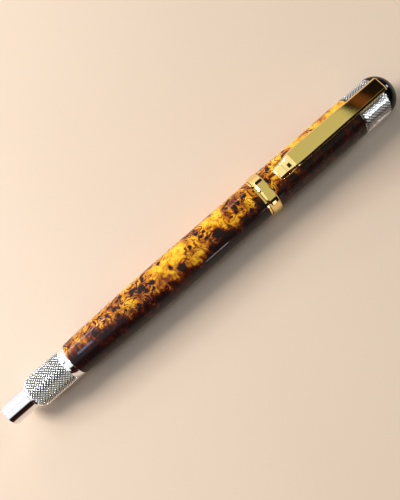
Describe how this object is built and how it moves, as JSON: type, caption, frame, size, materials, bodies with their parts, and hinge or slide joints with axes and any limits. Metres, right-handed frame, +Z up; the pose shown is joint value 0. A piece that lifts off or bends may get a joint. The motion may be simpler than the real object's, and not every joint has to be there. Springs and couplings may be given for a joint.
{
  "type": "rollerball pen",
  "caption": "Capped rollerball pen with burl wood barrel and cap, knurled metal ends, gold spring clip and centre band, domed finial, refill and screw-in section",
  "frame": {"origin": "on the table under the middle of the closed pen's length, with the pen lying on its centre band and its clip up", "axes": "+X from the tail to the finial along the pen, +Z up through the clip, +Y across the clip"},
  "size_m": [0.14, 0.0126, 0.0148],
  "materials": {
    "burl": "gloss",
    "gold": "polished",
    "chrome": "polished",
    "black_gloss": "gloss",
    "black_plastic": "matte",
    "grip_black": "satin",
    "brass_tube": "satin",
    "steel": "satin",
    "spring_steel": "polished",
    "magnet_nickel": "polished",
    "refill_plastic": "matte",
    "ink_fibre": "matte",
    "carbide": "polished"
  },
  "bodies": {
    "section": {"section_collar": "gold", "grip": "grip_black", "nose_cone": "chrome"},
    "refill": {"refill_tube": "steel", "refill_end_cap": "refill_plastic", "refill_nose": "refill_plastic", "tip_tube": "steel", "ink_reservoir": "ink_fibre"},
    "ball": {"writing_ball": "carbide"},
    "spring": {"refill_spring": "spring_steel"},
    "barrel": {"posting_tenon": "chrome", "tail_magnet": "magnet_nickel", "end_ferrule": "chrome", "barrel_tube": "brass_tube", "barrel_blank": "burl", "barrel_coupler": "gold"},
    "cap": {"center_band": "gold", "cap_magnet": "magnet_nickel", "cap_bushing": "brass_tube", "cap_tube": "brass_tube", "cap_blank": "burl", "cap_liner": "black_plastic", "cap_ring": "chrome", "finial": "black_gloss", "finial_stud": "steel", "clip_washer": "gold"},
    "clip": {"clip": "gold"}
  },
  "joints": [
    {"name": "cap_pull", "type": "slide", "parent": "section", "child": "cap", "axis": [1, 0, 0], "range_m": [0, 0.05]},
    {"name": "clip_flex", "type": "hinge", "parent": "cap", "child": "clip", "pos_m": [0.0646, 0, 0.01295], "axis": [0, 1, 0], "range_deg": [0, 4], "stiffness_Nm_per_rad": 4},
    {"name": "barrel_backoff", "type": "slide", "parent": "section", "child": "spring", "axis": [-1, 0, 0], "range_m": [0, 0.006], "deforming": ["refill_spring"]},
    {"name": "barrel_unscrew", "type": "hinge", "parent": "spring", "child": "barrel", "pos_m": [0.016, 0, 0.00635], "axis": [-1, 0, 0], "range_deg": [0, 2160]},
    {"name": "refill_push", "type": "slide", "parent": "section", "child": "refill", "axis": [-1, 0, 0], "range_m": [0, 0.001], "stiffness_N_per_m": 400, "springref_m": -0.004, "deforming": ["refill_spring"]},
    {"name": "ball_roll", "type": "hinge", "parent": "refill", "child": "ball", "pos_m": [0.05855, 0, 0.00635], "axis": [0, 1, 0], "continuous": true}
  ],
  "couplings": [
    {"joint": "barrel_unscrew", "follows": "barrel_backoff", "rad_per_m": 6283.2}
  ]
}
